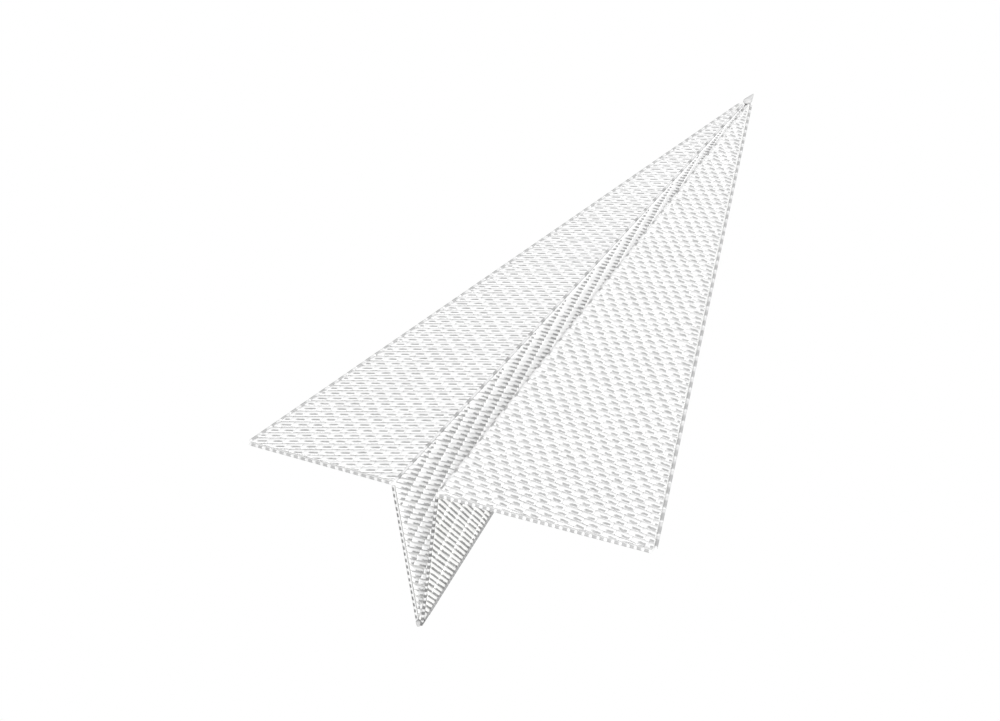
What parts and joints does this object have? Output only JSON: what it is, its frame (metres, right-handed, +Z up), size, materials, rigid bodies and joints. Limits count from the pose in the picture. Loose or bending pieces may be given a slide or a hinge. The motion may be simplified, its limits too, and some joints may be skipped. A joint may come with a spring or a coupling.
{
  "type": "paper airplane",
  "caption": "Folded card dart airplane with embroidered thread fills and borders; keel walls and wings hinge at their creases; thrown by hand.",
  "frame": {"origin": "middle of the dart's length and span, on the plane that the satin line under the keel stands on", "axes": "+X forward to the nose along the level keel crease, +Y to the left wing tip, +Z up"},
  "size_m": [0.2881, 0.1384, 0.0446],
  "materials": {
    "white_card": "matt uncoated white card",
    "white_thread": "white embroidery thread with a soft sheen",
    "pale_grey_thread": "pale grey embroidery thread with a soft sheen",
    "grey_thread": "grey thread of the crease and border stitches",
    "dark_grey_thread": "dark grey satin stitch"
  },
  "bodies": {
    "keel_spine": {"keel_satin_line": "dark_grey_thread", "left_spine_cord": "dark_grey_thread", "right_spine_cord": "dark_grey_thread", "nose_cap": "grey_thread"},
    "left_keel": {"left_keel_sheet": "white_card", "left_keel_inner_corner_ply": "white_card", "left_keel_outer_corner_ply": "white_card", "left_keel_flap": "white_card", "left_keel_inner_fill": "pale_grey_thread", "left_keel_flap_fill": "pale_grey_thread", "left_keel_outer_fill": "pale_grey_thread", "left_keel_tail_cord": "grey_thread", "left_wing_crease_cord": "grey_thread"},
    "left_wing": {"left_wing_sheet": "white_card", "left_wing_inner_corner_ply": "white_card", "left_wing_outer_corner_ply": "white_card", "left_wing_flap": "white_card", "left_wing_top_fill": "white_thread", "left_wing_flap_fill": "white_thread", "left_wing_under_fill": "white_thread", "left_wing_tail_cord": "grey_thread", "left_leading_edge_cord": "grey_thread"},
    "right_keel": {"right_keel_sheet": "white_card", "right_keel_inner_corner_ply": "white_card", "right_keel_outer_corner_ply": "white_card", "right_keel_flap": "white_card", "right_keel_inner_fill": "pale_grey_thread", "right_keel_flap_fill": "pale_grey_thread", "right_keel_outer_fill": "pale_grey_thread", "right_keel_tail_cord": "grey_thread", "right_wing_crease_cord": "grey_thread"},
    "right_wing": {"right_wing_sheet": "white_card", "right_wing_inner_corner_ply": "white_card", "right_wing_outer_corner_ply": "white_card", "right_wing_flap": "white_card", "right_wing_top_fill": "white_thread", "right_wing_flap_fill": "white_thread", "right_wing_under_fill": "white_thread", "right_wing_tail_cord": "grey_thread", "right_leading_edge_cord": "grey_thread"}
  },
  "joints": [
    {"name": "left_keel_crease", "type": "hinge", "parent": "keel_spine", "child": "left_keel", "pos_m": [0.144, 0.00075, 0.0009], "axis": [-1, 0, 0], "range_deg": [-7, 45]},
    {"name": "left_wing_crease", "type": "hinge", "parent": "left_keel", "child": "left_wing", "pos_m": [0.144, 0.00075, 0.0009], "axis": [0.9873, -0.0238, -0.1569], "range_deg": [-35, 85]},
    {"name": "right_keel_crease", "type": "hinge", "parent": "keel_spine", "child": "right_keel", "pos_m": [0.144, -0.00075, 0.0009], "axis": [1, 0, 0], "range_deg": [-7, 45]},
    {"name": "right_wing_crease", "type": "hinge", "parent": "right_keel", "child": "right_wing", "pos_m": [0.144, -0.00075, 0.0009], "axis": [-0.9873, -0.0238, 0.1569], "range_deg": [-35, 85]}
  ],
  "couplings": [
    {"joint": "right_keel_crease", "follows": "left_keel_crease", "ratio": 1}
  ]
}
